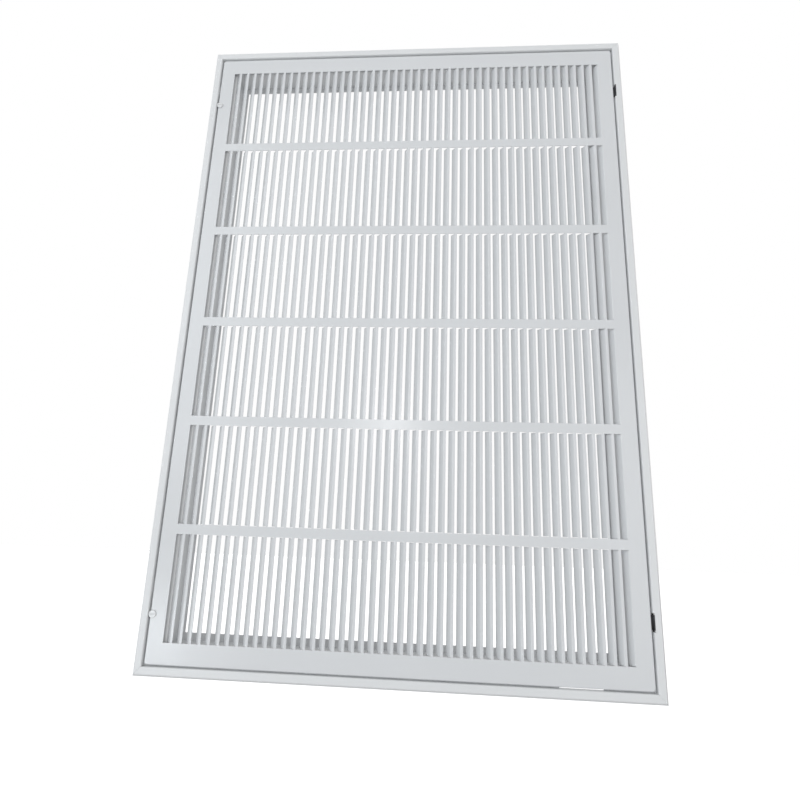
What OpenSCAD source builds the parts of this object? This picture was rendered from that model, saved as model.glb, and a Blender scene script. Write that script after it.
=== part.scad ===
// Hinged return-air filter grille for a rectangular duct opening.
// X runs across the width, Z up, and Y back into the wall. The wall surface is the plane Y = 0,
// so the rim and the louvred door stand at negative Y and the neck reaches into positive Y.

/* [Duct opening] */
// Width of the hole in the wall
duct_w = 406.4; // [300:0.1:620]
// Height of the hole in the wall
duct_h = 609.6; // [400:0.1:920]

/* [Frame] */
// How far the frame laps the wall all round the hole
lap_w = 23.8; // [21:0.1:40]
// Thickness of the frame sheet
frame_t = 0.7; // [0.5:0.05:0.9]
// Width of the raised rim, from the outer edge to the door gap
rim_w = 8.8; // [8:0.1:12]
// Height of the rim in front of the wall
rim_h = 6.0; // [5.6:0.1:9]
// Width of the slope that leads up to the rim's flat top
rim_slope = 2.4; // [1.5:0.1:3]
// Height of the rim's upright outer edge
rim_edge = 1.4; // [0.8:0.1:2]
// Outside radius of the folds in the frame sheet
fold_r = 1.0; // [0.9:0.05:1.2]
// Clearance between the neck and the hole, on each side
neck_clear = 2.0; // [1:0.1:5]
// Depth of the neck behind the wall surface
neck_d = 22.0; // [18:0.5:60]
// Width of the lip turned inwards at the back of the neck
lip_w = 6.5; // [4:0.1:12]
// Clearance left by each rail at a mitre
mitre_gap = 0.05; // [0.02:0.01:0.2]

/* [Door] */
// Thickness of the door sheet
door_t = 0.7; // [0.5:0.05:0.9]
// Gap between the door and the rim, all round
door_gap = 1.2; // [1.1:0.05:1.6]
// How far the door's face lies behind the rim's top
door_recess = 1.8; // [1.6:0.05:2]
// Clearance between the door's turned edge and the ledge behind it
door_seat = 0.3; // [0.2:0.05:0.5]
// Length of turned edge left out at each corner
corner_relief = 2.2; // [1.5:0.1:4]

/* [Louvres] */
// Distance from one louvre to the next
louvre_pitch = 8.4667; // [8:0.0001:14]
// Distance from one row of louvres to the next
row_pitch = 101.6; // [60:0.1:200]
// Flat strip of sheet between two slots
land_w = 1.9; // [1.5:0.1:3]
// Flat bar of sheet between two rows
bar_h = 9.0; // [6:0.1:20]
// Length of a louvre blade from its fold to its free edge
blade_w = 6.1; // [4:0.1:6.5]
// Angle through which a blade is bent back out of the face
blade_angle = 50; // [35:1:60]
// Gap at each end of a blade
blade_end_gap = 0.3; // [0.2:0.05:1]

/* [Hinges] */
// Distance from the rim's inner corner to the middle of a hinge
hinge_inset = 54.4; // [45:0.1:120]
// Distance from the door's edge to the hinge axis
hinge_out = 3.0; // [2.9:0.05:3.1]
// Height of the hinge axis in front of the wall
hinge_h = 3.6; // [3.5:0.05:3.7]
// Radius of the hinge pin
pin_r = 0.8; // [0.6:0.05:0.9]
// Radial play of the pin in the eye of the hinge arm
pin_play = 0.05; // [0.03:0.01:0.08]
// Radial play of the pin in its bracket
pin_fit = 0.02; // [0.01:0.01:0.05]
// Outer radius of the eye
eye_r = 1.4; // [1.3:0.05:1.5]
// Width of the hinge arm
arm_w = 12; // [8:0.5:20]
// Thickness of the hinge arm
arm_t = 0.6; // [0.5:0.05:0.7]
// Length of the arm's pad on the back of the door
arm_pad = 8.5; // [5:0.5:9.5]
// Thickness of the hinge bracket
bracket_t = 0.8; // [0.6:0.05:1]

/* [Latches] */
// Distance from the rim's inner corner to the upper latch's mean place
latch_inset = 52.3; // [45:0.1:120]
// How far both latches sit below their mean places
latch_drop = 9.5; // [0:0.1:12]
// Distance from the door's edge to the latch's axis
latch_in = 2.3; // [2.3:0.1:4]
// Radius of the latch's round head
knob_r = 3.3; // [2.5:0.05:3.3]
// Thickness of the head
knob_t = 1.1; // [0.8:0.05:1.5]
// Radius of the latch's shaft
shaft_r = 1.3; // [1:0.05:1.4]
// Radial play of the shaft in the door
shaft_play = 0.05; // [0.03:0.01:0.08]
// Distance from the latch's axis to the tip of its cam
cam_reach = 6.0; // [5.5:0.1:6.5]
// Width of the cam
cam_w = 3.6; // [3:0.1:3.8]
// Thickness of the cam
cam_t = 0.8; // [0.6:0.05:1]
// Thickness of the friction washer between door and cam
washer_t = 0.6; // [0.5:0.05:0.7]

/* [Fixing and joining] */
// Radius of a wall screw's hole in the ledge
screw_r = 2.25; // [1.8:0.05:3]
// Distance from the middle of the frame to a screw hole, up or down
screw_z = 230; // [120:1:240]
// Length of each leg of a corner key
key_leg = 25; // [15:1:35]
// Width of a corner key
key_w = 3.8; // [2.5:0.1:4]
// Thickness of a corner key
key_t = 2.0; // [1:0.1:2.5]
// Length of the lanced slot beside the rim in the top and bottom rails
lance_len = 36; // [20:1:50]
// Distance from the middle of a top or bottom rail to the near end of its lanced slot
lance_at = 140; // [60:1:145]

/* [Hidden] */
$fn = 48;
eps = 0.01;
arc_steps = 5;              // straight steps in a fold's quarter round
window_end = 1.5;           // room at each end of a hinge window beyond the arm
swing_room = 0.3;           // room round a part that swings through a window
lance_w = 1.4;              // width of the lanced slots and relief slots
relief_len = 11;            // length of the relief slot beside each latch
relief_at = 13.7;           // height of that slot above the latch's mean place
dot_r = 0.8;                // radius of the small relief hole inside each hinge
dot_at = 11;                // distance of that hole from the hinge's middle
head_round = 0.5;           // rounding of the latch head's edge
key_play = 0.1;             // clearance between a corner key and the rim's inner wall
weld_gap = 0.02;            // clearance between two parts that are welded together
face_gap = 0.05;            // running clearance between two flat faces
open_over = 5;              // degrees that the door opens past square
lug_w = 4.2;                // width of the hinge bracket
bracket_back = 0.5;         // height of the bracket's rear in front of the wall
pin_end = 0.6;              // length of pin that stands out past its bracket
pin_head_t = 0.5;           // thickness of that head
shaft_end = 0.3;            // length of the latch's shaft behind its cam
washer_r = 1.95;            // outer radius of the washer
coin_slot_w = 0.8;          // width of the slot in the latch's head
coin_slot_d = 0.4;          // depth of that slot
coin_slot_l = 4.6;          // length of that slot
crest_in = 0.6;             // slope's end to the centre of its rounding, in fold radii
crest_angle = 60;           // degrees turned by the fold at the slope's top

outer_w = duct_w + 2 * lap_w;
outer_h = duct_h + 2 * lap_w;
neck_u = lap_w + neck_clear;                    // outer edge to the neck's outside
lip_u = neck_u + frame_t + lip_w;               // outer edge to the lip's edge
slope_k = rim_slope / (rim_h - rim_edge);
slope_t = frame_t * sqrt(1 + slope_k * slope_k);

door_w = outer_w - 2 * (rim_w + door_gap);
door_h = outer_h - 2 * (rim_w + door_gap);
door_front = rim_h - door_recess;               // height of the door's face in front of the wall
door_back = door_front - door_t;
edge_back = frame_t + door_seat;                // height of the turned edge's rear in front of the wall

louvre_cols = floor(duct_w / louvre_pitch + 0.01);
louvre_rows = floor(duct_h / row_pitch + 0.01);
slot_w = louvre_pitch - land_w;
slot_len = row_pitch - bar_h;
field_w = louvre_cols * louvre_pitch - land_w;

hinge_x = door_w / 2 + hinge_out;
hinge_z = outer_h / 2 - rim_w - hinge_inset;
arm_back = eye_r - arm_t / 3;                   // distance of the arm's middle behind the hinge axis
window_len = arm_w + 2 * window_end;
window_depth = hinge_out - door_gap - arm_back + arm_t / 2
    + (rim_h - hinge_h) * tan(open_over) + swing_room;
lug_middle = window_len / 2 + (bracket_t + swing_room) / 2;
pin_head_r = hinge_out - door_gap - frame_t - face_gap;     // clears the rim's inner wall
latch_x = -(door_w / 2 - latch_in);
latch_mean_z = outer_h / 2 - rim_w - latch_inset;
cam_back = door_back - washer_t - cam_t;        // height of the cam's rear in front of the wall

function arc(cx, cy, r, from, to) =
    [for (i = [0 : arc_steps]) let (a = from + (to - from) * i / arc_steps)
        [cx + r * cos(a), cy + r * sin(a)]];

// One section through the folded frame sheet: first number from the outer edge inwards,
// second number from the wall forwards.
rail_section = concat(
    [[0, 0], [0, rim_edge]],
    arc(rim_slope + fold_r * crest_in, rim_h - fold_r, fold_r, 90 + crest_angle, 90),
    arc(rim_w - fold_r, rim_h - fold_r, fold_r, 90, 0),
    [[rim_w, frame_t]],
    arc(neck_u + frame_t - fold_r, frame_t - fold_r, fold_r, 90, 0),
    [[neck_u + frame_t, frame_t - neck_d], [lip_u, frame_t - neck_d], [lip_u, -neck_d]],
    arc(neck_u + fold_r, fold_r - neck_d, fold_r, 270, 180),
    [[neck_u, 0], [rim_w - frame_t, 0], [rim_w - frame_t, rim_h - frame_t],
     [slope_k * (rim_h - frame_t - rim_edge) + slope_t, rim_h - frame_t],
     [frame_t, rim_edge + (frame_t - slope_t) / slope_k], [frame_t, 0]]);

// A rail standing along Z with its outer edge at X = edge, mitred at both ends.
module rail(edge, length) {
    intersection() {
        linear_extrude(height = length, center = true)
            polygon([for (p = rail_section) [edge - p[0], -p[1]]]);
        rotate([90, 0, 0])
            linear_extrude(height = 4 * neck_d, center = true)
                polygon([[edge + eps, length / 2 + eps - mitre_gap],
                         [edge - lip_u - 1, length / 2 - lip_u - 1 - mitre_gap],
                         [edge - lip_u - 1, lip_u + 1 + mitre_gap - length / 2],
                         [edge + eps, mitre_gap - eps - length / 2]]);
    }
}

// A box given by its distances from the outer edge, its heights in front of the wall
// and its reach along Z.
module edge_box(edge, u, v, z) {
    translate([edge - u[1], -v[1], z[0]])
        cube([u[1] - u[0], v[1] - v[0], z[1] - z[0]]);
}

module screw_holes(edge) {
    for (side = [-1, 1])
        translate([edge - (rim_w + neck_u) / 2, 0, side * screw_z])
            rotate([90, 0, 0])
                cylinder(r = screw_r, h = 4 * frame_t, center = true);
}

module left_rail() {
    color("gainsboro")
        mirror([1, 0, 0])
            difference() {
                rail(outer_w / 2, outer_h);
                screw_holes(outer_w / 2);
                for (side = [-1, 1]) {
                    // window in the rim's inner wall that the latch's cam turns into
                    edge_box(outer_w / 2, [rim_w - frame_t - eps, rim_w + eps],
                             [cam_back - swing_room, cam_back + cam_t + swing_room],
                             [latch_z(side) - cam_w / 2 - swing_room,
                              latch_z(side) + cam_reach - swing_room]);
                    // relief slot beside the rim
                    edge_box(outer_w / 2, [rim_w, rim_w + lance_w], [-eps, frame_t + eps],
                             [side * latch_mean_z + relief_at - relief_len / 2,
                              side * latch_mean_z + relief_at + relief_len / 2]);
                }
            }
}

module right_rail() {
    color("gainsboro")
        difference() {
            rail(outer_w / 2, outer_h);
            screw_holes(outer_w / 2);
            for (side = [-1, 1]) {
                // window for the hinge arm: through the rim's inner wall and into its top
                edge_box(outer_w / 2, [rim_w - window_depth, rim_w + eps], [frame_t, rim_h + eps],
                         [side * hinge_z - window_len / 2, side * hinge_z + window_len / 2]);
                translate([outer_w / 2 - rim_w - dot_r, 0, side * (hinge_z - dot_at)])
                    rotate([90, 0, 0])
                        cylinder(r = dot_r, h = 4 * frame_t, center = true);
            }
        }
}

module end_rail() {
    difference() {
        rail(outer_h / 2, outer_w);
        edge_box(outer_h / 2, [rim_w, rim_w + lance_w], [-eps, frame_t + eps],
                 [lance_at, lance_at + lance_len]);
    }
}

module top_rail() {
    color("gainsboro")
        rotate([0, -90, 0])
            end_rail();
}

module bottom_rail() {
    color("gainsboro")
        rotate([0, 90, 0])
            end_rail();
}

// The top right key lies in the hollow of the rim, flat against the underside of its top.
module corner_key(sx, sz) {
    inner = rim_w - frame_t - key_play;
    color("silver")
        mirror([sx < 0 ? 1 : 0, 0, 0])
            mirror([0, 0, sz < 0 ? 1 : 0])
                translate([outer_w / 2 - inner, frame_t - rim_h, outer_h / 2 - inner]) {
                    translate([0, 0, key_w - key_leg])
                        cube([key_w, key_t, key_leg]);
                    translate([key_w - key_leg, 0, 0])
                        cube([key_leg, key_t, key_w]);
                }
}

// Section through one blade. The fold is at X = 0 and the free edge lies left and back.
function blade_side(depth) = [for (i = [0 : 2])
    let (a = blade_angle * i / 2, r = fold_r - depth)
        [-r * sin(a), -door_front + fold_r - r * cos(a)]];
blade_dir = [-cos(blade_angle), sin(blade_angle)];
blade_flat = blade_w - fold_r * blade_angle * PI / 180;
blade_front = blade_side(0);
blade_rear = blade_side(door_t);
blade_section = concat(
    [[land_w / 3, -door_front]],
    blade_front,
    [blade_front[2] + blade_flat * blade_dir, blade_rear[2] + blade_flat * blade_dir],
    [blade_rear[2], blade_rear[1], blade_rear[0], [land_w / 3, -door_back]]);

module door_edge(edge, length) {
    strip = concat(
        [[0, edge_back]],
        arc(fold_r, door_front - fold_r, fold_r, 180, 90),
        [[fold_r + eps, door_front], [fold_r + eps, door_back], [door_t, door_back],
         [door_t, edge_back]]);
    linear_extrude(height = length - 2 * corner_relief, center = true)
        polygon([for (p = strip) [edge - p[0], -p[1]]]);
}

module face_panel() {
    color("whitesmoke")
        difference() {
            union() {
                translate([0, -door_back, 0])
                    rotate([90, 0, 0])
                        linear_extrude(height = door_t)
                            face_outline();
                for (row = [0 : louvre_rows - 1])
                    for (col = [0 : louvre_cols - 1])
                        translate([slot_left(col) + slot_w, 0, row_middle(row)])
                            linear_extrude(height = slot_len - 2 * blade_end_gap, center = true)
                                polygon(blade_section);
                door_edge(door_w / 2, door_h);
                mirror([1, 0, 0])
                    door_edge(door_w / 2, door_h);
                rotate([0, -90, 0])
                    door_edge(door_h / 2, door_w);
                rotate([0, 90, 0])
                    door_edge(door_h / 2, door_w);
            }
            for (side = [-1, 1]) {
                // notch in the turned edge for the hinge arm
                translate([door_w / 2 - door_t - eps, -hinge_h + arm_back - arm_t / 2 - swing_room / 2,
                           side * hinge_z - arm_w / 2 - swing_room])
                    cube([door_t + 2 * eps, door_front, arm_w + 2 * swing_room]);
                // notch in the turned edge for the latch's cam
                translate([-door_w / 2 - eps, -door_back, latch_z(side) - cam_w / 2 - swing_room])
                    cube([door_t + 2 * eps, door_front, cam_w / 2 + cam_reach + 2 * swing_room]);
            }
        }
}

function slot_left(col) = -field_w / 2 + col * louvre_pitch;
function row_middle(row) = (row - (louvre_rows - 1) / 2) * row_pitch;
function latch_z(side) = side * latch_mean_z - latch_drop;

module face_outline() {
    difference() {
        square([door_w - 2 * fold_r, door_h - 2 * fold_r], center = true);
        for (row = [0 : louvre_rows - 1])
            for (col = [0 : louvre_cols - 1])
                translate([slot_left(col), row_middle(row) - slot_len / 2])
                    square([slot_w, slot_len]);
        for (side = [-1, 1])
            translate([latch_x, latch_z(side)])
                circle(r = shaft_r + shaft_play);
    }
}

// Bent from one strip: an eye round the pin, a flat that passes under the door's turned
// edge, and a pad welded to the back of the face.
module hinge_arm(side) {
    inside = door_w / 2 - door_t - swing_room;
    color("silver")
        translate([0, 0, side * hinge_z])
            linear_extrude(height = arm_w, center = true)
                difference() {
                    union() {
                        translate([hinge_x, -hinge_h])
                            circle(r = eye_r);
                        translate([inside - arm_t, -hinge_h + arm_back - arm_t / 2])
                            square([hinge_x - inside + arm_t, arm_t]);
                        translate([inside - arm_t, -door_back])
                            square([arm_t, door_back - hinge_h + arm_back + arm_t / 2]);
                        translate([inside - arm_pad, -door_back])
                            square([arm_pad, arm_t]);
                    }
                    translate([hinge_x, -hinge_h])
                        circle(r = pin_r + pin_play);
                }
}

// U-shaped bracket welded inside the hollow of the rim. Its two lugs hold the pin.
module hinge_bracket(side) {
    wall_x = outer_w / 2 - rim_w + frame_t + weld_gap;
    color("silver")
        translate([0, 0, side * hinge_z])
            difference() {
                union() {
                    for (lug = [-1, 1])
                        translate([wall_x, frame_t + weld_gap - rim_h,
                                   lug * lug_middle - bracket_t / 2])
                            cube([lug_w, rim_h - frame_t - weld_gap - bracket_back, bracket_t]);
                    translate([wall_x, -bracket_back - bracket_t, -lug_middle - bracket_t / 2])
                        cube([lug_w, bracket_t, 2 * lug_middle + bracket_t]);
                }
                translate([hinge_x, -hinge_h, 0])
                    cylinder(r = pin_r + pin_fit, h = 4 * lug_middle, center = true);
            }
}

module hinge_pin(side) {
    reach = lug_middle + bracket_t / 2;
    color("silver")
        translate([hinge_x, -hinge_h, side * hinge_z]) {
            translate([0, 0, -reach - pin_end])
                cylinder(r = pin_r, h = 2 * reach + pin_end + pin_head_t);
            translate([0, 0, reach + weld_gap])
                cylinder(r = pin_head_r, h = pin_head_t);
        }
}

// Round head, slotted for a coin, with the shaft that passes through the door.
module latch_knob(side) {
    front = door_front + face_gap + knob_t;
    color("white")
        translate([latch_x, 0, latch_z(side)])
            difference() {
                rotate([90, 0, 0])
                    rotate_extrude()
                        polygon(concat(
                            [[0, cam_back - shaft_end], [shaft_r, cam_back - shaft_end],
                             [shaft_r, front - knob_t], [knob_r, front - knob_t]],
                            arc(knob_r - head_round, front - head_round, head_round, 0, 90),
                            [[0, front]]));
                translate([-coin_slot_l / 2, -front - eps, -coin_slot_w / 2])
                    cube([coin_slot_l, coin_slot_d + eps, coin_slot_w]);
            }
}

// Flat finger fixed on the shaft behind the door. It points left, behind the rim's inner wall.
module latch_cam(side) {
    color("silver")
        translate([latch_x, -cam_back, latch_z(side)])
            rotate([90, 0, 0])
                linear_extrude(height = cam_t)
                    difference() {
                        union() {
                            circle(r = cam_w / 2);
                            translate([cam_w / 2 - cam_reach, 0])
                                circle(r = cam_w / 2);
                            translate([cam_w / 2 - cam_reach, -cam_w / 2])
                                square([cam_reach - cam_w / 2, cam_w]);
                        }
                        circle(r = shaft_r + pin_fit);
                    }
}

module latch_washer(side) {
    color("dimgray")
        translate([latch_x, -cam_back - cam_t, latch_z(side)])
            rotate([90, 0, 0])
                linear_extrude(height = washer_t - face_gap)
                    difference() {
                        circle(r = washer_r);
                        circle(r = shaft_r + shaft_play);
                    }
}

left_rail();
right_rail();
top_rail();
bottom_rail();
corner_key(-1, 1);  // corner_key_top_left
corner_key(1, 1);  // corner_key_top_right
corner_key(-1, -1);  // corner_key_bottom_left
corner_key(1, -1);  // corner_key_bottom_right
face_panel();
hinge_arm(1);  // hinge_arm_upper
hinge_arm(-1);  // hinge_arm_lower
hinge_bracket(1);  // hinge_bracket_upper
hinge_bracket(-1);  // hinge_bracket_lower
hinge_pin(1);  // hinge_pin_upper
hinge_pin(-1);  // hinge_pin_lower
latch_knob(1);  // latch_knob_upper
latch_knob(-1);  // latch_knob_lower
latch_cam(1);  // latch_cam_upper
latch_cam(-1);  // latch_cam_lower
latch_washer(1);  // latch_washer_upper
latch_washer(-1);  // latch_washer_lower
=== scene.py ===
"""Looks of a hinged return-air grille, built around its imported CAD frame."""
from math import radians

import bmesh
import bpy
from mathutils import Matrix, Vector


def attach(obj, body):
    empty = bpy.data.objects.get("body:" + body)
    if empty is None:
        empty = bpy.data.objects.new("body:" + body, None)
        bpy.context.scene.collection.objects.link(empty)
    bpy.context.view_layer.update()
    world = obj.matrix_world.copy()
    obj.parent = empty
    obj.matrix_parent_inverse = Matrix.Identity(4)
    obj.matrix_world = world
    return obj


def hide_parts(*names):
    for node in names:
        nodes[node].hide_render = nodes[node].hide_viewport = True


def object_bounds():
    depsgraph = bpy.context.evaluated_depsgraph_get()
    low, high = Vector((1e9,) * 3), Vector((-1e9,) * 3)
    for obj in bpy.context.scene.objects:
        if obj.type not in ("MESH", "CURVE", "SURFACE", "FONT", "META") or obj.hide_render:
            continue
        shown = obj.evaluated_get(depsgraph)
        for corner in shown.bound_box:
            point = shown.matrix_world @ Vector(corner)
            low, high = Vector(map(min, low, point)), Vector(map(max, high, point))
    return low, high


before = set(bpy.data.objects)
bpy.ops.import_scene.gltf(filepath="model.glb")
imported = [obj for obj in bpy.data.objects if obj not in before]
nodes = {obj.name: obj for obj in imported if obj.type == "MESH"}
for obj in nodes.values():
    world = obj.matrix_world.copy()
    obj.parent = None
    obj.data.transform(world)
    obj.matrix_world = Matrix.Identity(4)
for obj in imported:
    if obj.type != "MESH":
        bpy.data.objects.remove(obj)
cad_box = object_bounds()
scene = bpy.context.scene
MM = 0.001

# --------------------------------------------------------------------------------------------
# Frame rails: four lengths of 0.7 mm mild steel strip, roll formed with a raised rim round the
# door, pressed with their slots, mitred and keyed together, then powder coated white. The coat
# draws back from the cut edges, so it lies thinner there than on the flats.
weld_distance = 0.001 * MM
flat_within = radians(1.0)
sharp_from = radians(35.0)
sheet_edge = 0.10 * MM
# Painted light: frame coat set lighter than the door's same white coat, so the rim looks brighter.
coat_light = (0.745, 0.756, 0.764, 1.0)
coat_shade = (0.698, 0.710, 0.720, 1.0)
coat_thin = (0.560, 0.572, 0.585, 1.0)
coat_patch_size = 140.0
peel_size = 620.0
peel_height = 0.012 * MM
nib_height = 0.6
nib_grey = 0.35
edge_roughening = 0.18
frame_roughness = 0.33
frame_wear = 0.8


def eased_copy(node, name, body, material, edge):
    """A CAD piece merged from its loose triangles, with its sharp edges eased by a small radius.

    The eased strips carry the mask eased_edge, which the finishes read for wear.
    """
    shape = bmesh.new()
    shape.from_mesh(nodes[node].data)
    eased = shape.loops.layers.float.new("eased_edge")
    bmesh.ops.remove_doubles(shape, verts=shape.verts, dist=weld_distance)
    bmesh.ops.dissolve_limit(shape, verts=shape.verts, edges=shape.edges, angle_limit=flat_within)
    sharp = [e for e in shape.edges if e.is_manifold and e.calc_face_angle() > sharp_from]
    made = bmesh.ops.bevel(shape, geom=sharp, offset=edge, offset_type="OFFSET", affect="EDGES",
                           segments=2, profile=0.5, material=-1, clamp_overlap=True)
    for face in made["faces"]:
        for loop in face.loops:
            loop[eased] = 1.0
    for face in shape.faces:
        face.smooth = True
    data = bpy.data.meshes.new(name)
    shape.to_mesh(data)
    shape.free()
    piece = bpy.data.objects.new(name, data)
    scene.collection.objects.link(piece)
    data.materials.append(material)
    evened = piece.modifiers.new("flats_stay_flat", "WEIGHTED_NORMAL")
    evened.mode = "FACE_AREA"
    evened.keep_sharp = True
    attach(piece, body)
    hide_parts(node)
    return piece


def add_node(tree, kind, links=None, **settings):
    """A shader node with its settings, and the outputs that feed its numbered or named sockets."""
    made = tree.nodes.new(kind)
    for name, value in settings.items():
        if name in made.inputs:
            made.inputs[name].default_value = value
        else:
            setattr(made, name, value)
    for socket, output in (links or {}).items():
        tree.links.new(output, made.inputs[socket])
    return made


def number_range(tree, value, low, high, to_low, to_high):
    """Maps a value's range from low..high to to_low..to_high, clamped."""
    mapped = add_node(tree, "ShaderNodeMapRange", {"Value": value})
    limits = {"From Min": low, "From Max": high, "To Min": to_low, "To Max": to_high}
    for socket, number in limits.items():
        mapped.inputs[socket].default_value = number
    return mapped.outputs["Result"]


def new_group(name, inputs, outputs):
    """An empty node group with float sockets, its input node and its output node."""
    group = bpy.data.node_groups.new(name, "ShaderNodeTree")
    for socket in inputs:
        group.interface.new_socket(socket, in_out="INPUT", socket_type="NodeSocketFloat")
    for socket in outputs:
        group.interface.new_socket(socket, in_out="OUTPUT", socket_type="NodeSocketFloat")
    return group, group.nodes.new("NodeGroupInput"), group.nodes.new("NodeGroupOutput")


def make_edge_wear_group():
    """Wear on eased edges: the mask on the mesh, broken up by a coarse and a fine noise."""
    group, given, out = new_group("edge_wear", ("Amount", "Patch size"), ("Wear",))
    place = add_node(group, "ShaderNodeTexCoord").outputs["Object"]
    edge = add_node(group, "ShaderNodeAttribute", attribute_name="eased_edge").outputs["Fac"]
    patch = add_node(group, "ShaderNodeTexNoise", {"Vector": place, "Scale": given.outputs["Patch size"]},
                     Detail=4.0, Roughness=0.6)
    broken = number_range(group, patch.outputs["Fac"], 0.40, 0.62, 0.25, 1.0)
    on_edge = add_node(group, "ShaderNodeMath", {0: edge, 1: broken}, operation="MULTIPLY")
    wear = add_node(group, "ShaderNodeMath", {0: on_edge.outputs[0], 1: given.outputs["Amount"]},
                    operation="MULTIPLY", use_clamp=True)
    group.links.new(wear.outputs[0], out.inputs["Wear"])
    return group


def make_coat_film_group():
    """Powder coat as masks: cloudy film thickness, stoved-in nibs, handling smears and orange peel."""
    group, given, out = new_group("powder_coat_film", ("Peel size", "Plain roughness"),
                                  ("Cloud", "Nib", "Roughness", "Height"))
    place = add_node(group, "ShaderNodeTexCoord").outputs["Object"]
    cloud = add_node(group, "ShaderNodeTexNoise", {"Vector": place}, Scale=11.0, Detail=3.0)
    smear = add_node(group, "ShaderNodeTexNoise", {"Vector": place}, Scale=24.0, Detail=3.0)
    peel = add_node(group, "ShaderNodeTexNoise", {"Vector": place, "Scale": given.outputs["Peel size"]},
                    Detail=1.5, Roughness=0.4)
    speck = add_node(group, "ShaderNodeTexVoronoi", {"Vector": place}, Scale=95.0, Randomness=1.0)
    nib = number_range(group, speck.outputs["Distance"], 0.01, 0.03, 1.0, 0.0)
    rubbed = number_range(group, smear.outputs["Fac"], 0.35, 0.70, -0.015, 0.025)
    rough = add_node(group, "ShaderNodeMath", {0: given.outputs["Plain roughness"], 1: rubbed},
                     operation="ADD")
    raised = add_node(group, "ShaderNodeMath", {0: nib, 2: peel.outputs["Fac"]}, operation="MULTIPLY_ADD")
    raised.inputs[1].default_value = nib_height
    group.links.new(cloud.outputs["Fac"], out.inputs["Cloud"])
    group.links.new(nib, out.inputs["Nib"])
    group.links.new(rough.outputs[0], out.inputs["Roughness"])
    group.links.new(raised.outputs[0], out.inputs["Height"])
    return group


def blend_colours(tree, share, first, second):
    """A colour between two, each a plain colour or an output."""
    mixed = add_node(tree, "ShaderNodeMix", {"Factor": share}, data_type="RGBA")
    for socket, colour in (("A", first), ("B", second)):
        target = [s for s in mixed.inputs if s.name == socket and s.type == "RGBA"][0]
        if isinstance(colour, tuple):
            target.default_value = colour
        else:
            tree.links.new(colour, target)
    return [s for s in mixed.outputs if s.type == "RGBA"][0]


def new_finish(name):
    """A material with its tree and its Principled shader."""
    material = bpy.data.materials.new(name)
    material.use_nodes = True
    return material, material.node_tree, material.node_tree.nodes["Principled BSDF"]


def surface_relief(tree, shader, height, distance, strength):
    """Bump from a height, into the shader's normal."""
    bump = add_node(tree, "ShaderNodeBump", {"Height": height}, Strength=strength, Distance=distance)
    tree.links.new(bump.outputs["Normal"], shader.inputs["Normal"])


edge_wear_group = make_edge_wear_group()
coat_film_group = make_coat_film_group()


def make_powder_coat(name, light, shade, roughness, wear_amount):
    """White polyester powder coat, semi-gloss, thinner and greyer where it runs over an edge."""
    material, tree, shader = new_finish(name)
    film = add_node(tree, "ShaderNodeGroup", node_tree=coat_film_group)
    film.inputs["Peel size"].default_value = peel_size
    film.inputs["Plain roughness"].default_value = roughness
    wear = add_node(tree, "ShaderNodeGroup", node_tree=edge_wear_group)
    wear.inputs["Amount"].default_value = wear_amount
    wear.inputs["Patch size"].default_value = coat_patch_size
    flat = blend_colours(tree, film.outputs["Cloud"], shade, light)
    speck_share = number_range(tree, film.outputs["Nib"], 0.0, 1.0, 0.0, nib_grey)
    specked = blend_colours(tree, speck_share, flat, coat_thin)
    edged = blend_colours(tree, wear.outputs["Wear"], specked, coat_thin)
    tree.links.new(edged, shader.inputs["Base Color"])
    worn = add_node(tree, "ShaderNodeMath", {0: wear.outputs["Wear"], 2: film.outputs["Roughness"]},
                    operation="MULTIPLY_ADD")
    worn.inputs[1].default_value = edge_roughening
    tree.links.new(worn.outputs[0], shader.inputs["Roughness"])
    surface_relief(tree, shader, film.outputs["Height"], peel_height, 0.5)
    shader.inputs["Specular IOR Level"].default_value = 0.5
    return material


frame_coat = make_powder_coat("frame_powder_coat", coat_light, coat_shade, frame_roughness, frame_wear)
for side in ("left", "right", "top", "bottom"):
    eased_copy(side + "_rail", side + "_frame_rail", "frame", frame_coat, sheet_edge)

# --------------------------------------------------------------------------------------------
# Corner keys: blanked from zinc plated strip, one driven into the hollow of the rim at each
# mitre, where it holds the two rails square.
zinc_light = (0.62, 0.63, 0.64, 1.0)
zinc_dull = (0.40, 0.41, 0.43, 1.0)
zinc_bare = (0.74, 0.74, 0.73, 1.0)
strip_edge = 0.12 * MM


def make_zinc_plate():
    """Zinc plate: a cloudy spangle, fine rolling lines, and bright rubbed edges."""
    material, tree, shader = new_finish("zinc_plated_steel")
    place = add_node(tree, "ShaderNodeTexCoord").outputs["Object"]
    spangle = add_node(tree, "ShaderNodeTexVoronoi", {"Vector": place}, Scale=420.0)
    bloom = add_node(tree, "ShaderNodeTexNoise", {"Vector": place}, Scale=90.0, Detail=4.0)
    along = add_node(tree, "ShaderNodeMapping", {"Vector": place})
    along.inputs["Scale"].default_value = (1.0, 1.0, 0.04)
    lines = add_node(tree, "ShaderNodeTexNoise", {"Vector": along.outputs["Vector"]}, Scale=5200.0,
                     Detail=2.0)
    wear = add_node(tree, "ShaderNodeGroup", node_tree=edge_wear_group)
    wear.inputs["Amount"].default_value = 0.9
    wear.inputs["Patch size"].default_value = 600.0
    clouded = blend_colours(tree, bloom.outputs["Fac"], zinc_dull, zinc_light)
    tone = number_range(tree, spangle.outputs["Color"], 0.0, 1.0, 0.0, 0.35)
    plated = blend_colours(tree, tone, clouded, zinc_light)
    tree.links.new(blend_colours(tree, wear.outputs["Wear"], plated, zinc_bare), shader.inputs["Base Color"])
    tree.links.new(number_range(tree, bloom.outputs["Fac"], 0.3, 0.7, 0.30, 0.46), shader.inputs["Roughness"])
    surface_relief(tree, shader, lines.outputs["Fac"], 0.004 * MM, 0.5)
    shader.inputs["Metallic"].default_value = 1.0
    return material


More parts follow.
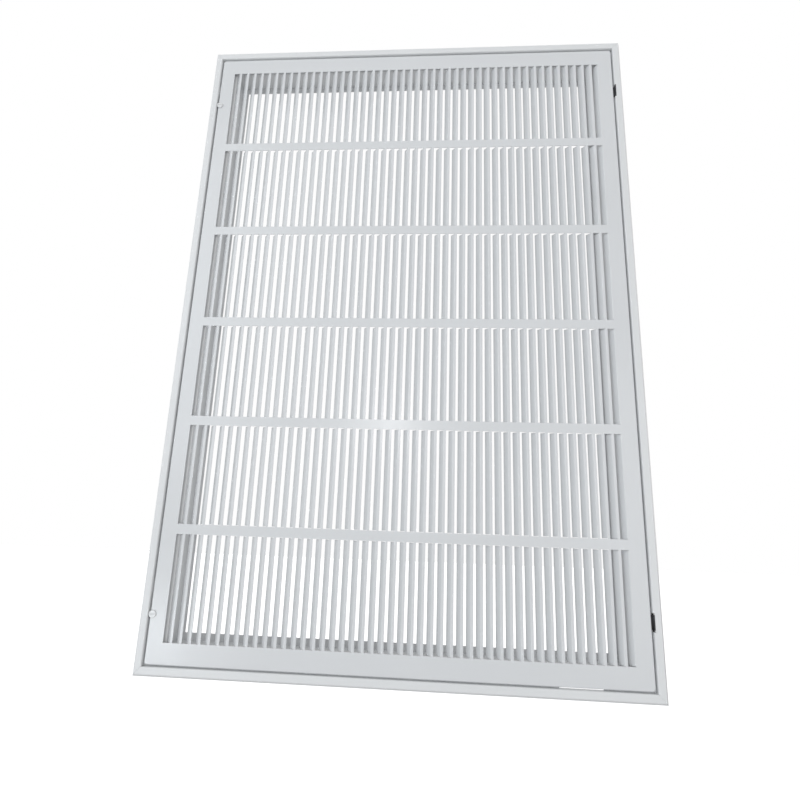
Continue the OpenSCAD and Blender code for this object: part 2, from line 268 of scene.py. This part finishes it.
zinc_plate = make_zinc_plate()
for corner in ("top_left", "top_right", "bottom_left", "bottom_right"):
    eased_copy("corner_key_" + corner, "mitre_key_" + corner, "frame", zinc_plate,
               strip_edge)

# --------------------------------------------------------------------------------------------
# Hinge brackets: channels folded from steel strip, welded inside the hollow of the right rim
# behind its two windows. Their near-black colour is painted shade: it makes the windows read as
# dark slits, where the hollow lies in shade.
painted_shade_black = (0.016, 0.016, 0.018, 1.0)
painted_shade_grey = (0.050, 0.050, 0.054, 1.0)
steel_rubbed = (0.30, 0.295, 0.29, 1.0)


def make_painted_shade_steel():
    """Painted shade in near-black steel: crystalline and matt, slightly oiled, rubbed to steel along its
    edges.
    """
    material, tree, shader = new_finish("black_phosphated_steel")
    place = add_node(tree, "ShaderNodeTexCoord").outputs["Object"]
    crystal = add_node(tree, "ShaderNodeTexVoronoi", {"Vector": place}, Scale=2600.0)
    oil = add_node(tree, "ShaderNodeTexNoise", {"Vector": place}, Scale=180.0, Detail=4.0)
    wear = add_node(tree, "ShaderNodeGroup", node_tree=edge_wear_group)
    wear.inputs["Amount"].default_value = 0.6
    wear.inputs["Patch size"].default_value = 700.0
    cloud = number_range(tree, oil.outputs["Fac"], 0.35, 0.65, 0.0, 1.0)
    phosphated = blend_colours(tree, cloud, painted_shade_black, painted_shade_grey)
    tree.links.new(blend_colours(tree, wear.outputs["Wear"], phosphated, steel_rubbed),
                   shader.inputs["Base Color"])
    tree.links.new(number_range(tree, oil.outputs["Fac"], 0.3, 0.7, 0.42, 0.62), shader.inputs["Roughness"])
    surface_relief(tree, shader, crystal.outputs["Distance"], 0.006 * MM, 0.5)
    shader.inputs["Specular IOR Level"].default_value = 0.3
    return material


# Painted shade: this near-black material darkens the hinge windows, where the hollow lies in shade.
painted_shade_steel = make_painted_shade_steel()
for place in ("upper", "lower"):
    eased_copy("hinge_bracket_" + place, "rim_hinge_bracket_" + place, "frame",
               painted_shade_steel, strip_edge)

# --------------------------------------------------------------------------------------------
# Hinge pins: bright drawn steel wire, headed at the top, dropped through the bracket and the
# eye of the door's arm. They are left bare and stay lightly oiled.
pin_bright = (0.56, 0.555, 0.55, 1.0)
pin_oiled = (0.30, 0.285, 0.27, 1.0)
pin_edge = 0.08 * MM


def make_drawn_steel():
    """Drawn wire: fine lines along its length, browned a little by old oil."""
    material, tree, shader = new_finish("bright_pin_steel")
    place = add_node(tree, "ShaderNodeTexCoord").outputs["Object"]
    along = add_node(tree, "ShaderNodeMapping", {"Vector": place})
    along.inputs["Scale"].default_value = (1.0, 1.0, 0.02)
    lines = add_node(tree, "ShaderNodeTexNoise", {"Vector": along.outputs["Vector"]}, Scale=9000.0,
                     Detail=2.0)
    oil = add_node(tree, "ShaderNodeTexNoise", {"Vector": place}, Scale=260.0, Detail=3.0)
    stained = number_range(tree, oil.outputs["Fac"], 0.45, 0.75, 0.0, 0.7)
    tree.links.new(blend_colours(tree, stained, pin_bright, pin_oiled), shader.inputs["Base Color"])
    tree.links.new(number_range(tree, oil.outputs["Fac"], 0.3, 0.7, 0.18, 0.36), shader.inputs["Roughness"])
    surface_relief(tree, shader, lines.outputs["Fac"], 0.003 * MM, 0.6)
    shader.inputs["Metallic"].default_value = 1.0
    return material


drawn_steel = make_drawn_steel()
for place in ("upper", "lower"):
    eased_copy("hinge_pin_" + place, "wire_hinge_pin_" + place, "frame", drawn_steel,
               pin_edge)

# --------------------------------------------------------------------------------------------
# Louvred door: one sheet of 0.7 mm steel. Its louvres are lanced and bent back in one stroke of
# the press, its four edges are turned back, and it is powder coated with the frame but hangs
# apart on the line, so its film is a shade smoother.
door_light = (0.688, 0.700, 0.715, 1.0)
door_shade = (0.650, 0.664, 0.680, 1.0)
door_roughness = 0.23
door_wear = 0.6
louvre_edge = 0.06 * MM
door_coat = make_powder_coat("door_powder_coat", door_light, door_shade, door_roughness, door_wear)
eased_copy("face_panel", "louvred_door_sheet", "door", door_coat, louvre_edge)

# --------------------------------------------------------------------------------------------
# Hinge arms: steel strip rolled into an eye at one end and spot welded behind the door at the
# other, after coating. They share the brackets' near-black, which is painted shade.
arm_edge = 0.08 * MM
for place in ("upper", "lower"):
    eased_copy("hinge_arm_" + place, "door_hinge_arm_" + place, "door",
               painted_shade_steel, arm_edge)

# --------------------------------------------------------------------------------------------
# Quarter-turn latches: a die-cast head with a coin slot, enamelled white to match the door, with
# a plated cam staked behind it. A dark nylon washer under the cam gives the turn its drag.
enamel_light = (0.71, 0.72, 0.73, 1.0)
enamel_chip = (0.42, 0.42, 0.42, 1.0)
nylon_dark = (0.020, 0.020, 0.022, 1.0)
nylon_scuffed = (0.075, 0.075, 0.080, 1.0)
head_edge = 0.10 * MM
cam_edge = 0.08 * MM
washer_edge = 0.05 * MM


def make_enamel():
    """Sprayed enamel, glossier than the door, rubbed at its rim and coin slot."""
    material, tree, shader = new_finish("latch_enamel")
    place = add_node(tree, "ShaderNodeTexCoord").outputs["Object"]
    dimple = add_node(tree, "ShaderNodeTexNoise", {"Vector": place}, Scale=1500.0, Detail=2.0)
    wear = add_node(tree, "ShaderNodeGroup", node_tree=edge_wear_group)
    wear.inputs["Amount"].default_value = 0.7
    wear.inputs["Patch size"].default_value = 900.0
    tree.links.new(blend_colours(tree, wear.outputs["Wear"], enamel_light, enamel_chip),
                   shader.inputs["Base Color"])
    tree.links.new(number_range(tree, dimple.outputs["Fac"], 0.3, 0.7, 0.20, 0.30),
                   shader.inputs["Roughness"])
    surface_relief(tree, shader, dimple.outputs["Fac"], 0.008 * MM, 0.4)
    return material


def make_nylon():
    """Dark moulded nylon, matt, scuffed grey where the cam rubs."""
    material, tree, shader = new_finish("dark_nylon")
    place = add_node(tree, "ShaderNodeTexCoord").outputs["Object"]
    scuff = add_node(tree, "ShaderNodeTexNoise", {"Vector": place}, Scale=1200.0, Detail=4.0)
    grey = number_range(tree, scuff.outputs["Fac"], 0.5, 0.7, 0.0, 1.0)
    tree.links.new(blend_colours(tree, grey, nylon_dark, nylon_scuffed), shader.inputs["Base Color"])
    tree.links.new(number_range(tree, scuff.outputs["Fac"], 0.3, 0.7, 0.50, 0.68), shader.inputs["Roughness"])
    surface_relief(tree, shader, scuff.outputs["Fac"], 0.01 * MM, 0.4)
    return material


enamel = make_enamel()
nylon = make_nylon()
for place in ("upper", "lower"):
    latch = "latch_" + place
    eased_copy("latch_knob_" + place, "coin_head_" + place, latch, enamel, head_edge)
    eased_copy("latch_cam_" + place, "plated_cam_" + place, latch, zinc_plate,
               cam_edge)
    eased_copy("latch_washer_" + place, "drag_washer_" + place, latch, nylon, washer_edge)

# --------------------------------------------------------------------------------------------
# Studio: a pale floor under the grille, a white surround, and soft boxes. The floor and the
# surround show white to the camera and in reflections, and light the grille at a plain level.
drop_to_floor = 0.35
floor_reach = 8.0
floor_paint = (0.86, 0.86, 0.86, 1.0)
floor_lift = 0.72
surround_white = 1.0
surround_light = 0.60
cool_daylight = (0.90, 0.96, 1.0)


def make_floor():
    """A matt floor below the grille, lifted towards white where the camera sees it."""
    bottom = cad_box[0].z - drop_to_floor
    shape = bmesh.new()
    bmesh.ops.create_grid(shape, x_segments=1, y_segments=1, size=floor_reach,
                          matrix=Matrix.Translation((0.0, 0.0, bottom)))
    data = bpy.data.meshes.new("studio_floor")
    shape.to_mesh(data)
    shape.free()
    floor = bpy.data.objects.new("studio_floor", data)
    scene.collection.objects.link(floor)
    material, tree, shader = new_finish("studio_floor")
    shader.inputs["Base Color"].default_value = floor_paint
    shader.inputs["Roughness"].default_value = 0.9
    ray = add_node(tree, "ShaderNodeLightPath")
    lift = add_node(tree, "ShaderNodeMath", {0: ray.outputs["Is Camera Ray"]}, operation="MULTIPLY")
    lift.inputs[1].default_value = floor_lift
    glow = add_node(tree, "ShaderNodeEmission", {"Strength": lift.outputs[0]})
    both = add_node(tree, "ShaderNodeAddShader", {0: shader.outputs[0], 1: glow.outputs[0]})
    tree.links.new(both.outputs[0], tree.nodes["Material Output"].inputs["Surface"])
    data.materials.append(material)


def make_surround():
    """A surround that lights evenly and shows white to the camera, in gloss and through glass."""
    world = bpy.data.worlds.new("studio_surround")
    scene.world = world
    world.use_nodes = True
    tree = world.node_tree
    lighting = tree.nodes["Background"]
    lighting.inputs["Color"].default_value = (1.0, 1.0, 1.0, 1.0)
    lighting.inputs["Strength"].default_value = surround_light
    shown = add_node(tree, "ShaderNodeBackground", Color=(1.0, 1.0, 1.0, 1.0), Strength=surround_white)
    ray = add_node(tree, "ShaderNodeLightPath")
    looks = add_node(tree, "ShaderNodeMath", operation="MAXIMUM",
                     links={0: ray.outputs["Is Camera Ray"], 1: ray.outputs["Is Glossy Ray"]})
    seen = add_node(tree, "ShaderNodeMath", operation="MAXIMUM",
                    links={0: looks.outputs[0], 1: ray.outputs["Is Transmission Ray"]})
    both = add_node(tree, "ShaderNodeMixShader",
                    {0: seen.outputs[0], 1: lighting.outputs[0], 2: shown.outputs[0]})
    tree.links.new(both.outputs[0], tree.nodes["World Output"].inputs["Surface"])


def add_softbox(name, place, aim, width, height, watts, colour=(1.0, 1.0, 1.0)):
    """A rectangular soft box at place, turned to aim."""
    light = bpy.data.lights.new(name, "AREA")
    light.color = colour
    light.shape = "RECTANGLE"
    light.size = width
    light.size_y = height
    light.energy = watts
    box = bpy.data.objects.new(name, light)
    box.location = place
    box.rotation_euler = (Vector(aim) - Vector(place)).to_track_quat("-Z", "Y").to_euler()
    scene.collection.objects.link(box)


make_floor()
make_surround()
add_softbox("window_from_left", place=(-1.5, -1.7, 0.8), aim=(0.0, 0.0, 0.0), width=1.6, height=1.6,
            watts=13.2, colour=cool_daylight)
add_softbox("low_left_sheen", place=(-1.10, -1.65, -0.70), aim=(-0.15, 0.0, -0.28), width=0.42,
            height=0.30, watts=6.0, colour=cool_daylight)
add_softbox("front_fill", place=(1.3, -1.9, -0.3), aim=(0.1, 0.0, -0.1), width=1.4, height=1.8,
            watts=9.0)
add_softbox("bar_glint", place=(-0.15, -1.49, 0.17), aim=(0.0, 0.0, -0.10), width=0.16, height=0.08,
            watts=1.1)

# --------------------------------------------------------------------------------------------
# Camera: a short lens held close to the grille, low and a little to the right, looking up.
lens = bpy.data.cameras.new("camera")
lens.sensor_width = 36.0
lens.lens = 24.94
lens.shift_y = -0.0151
camera = bpy.data.objects.new("camera", lens)
camera.location = (0.0378, -0.5157, -0.1948)
camera.rotation_euler = [radians(turn) for turn in (104.09, -1.92, 3.86)]
scene.collection.objects.link(camera)
scene.camera = camera
scene.view_settings.view_transform = "Standard"
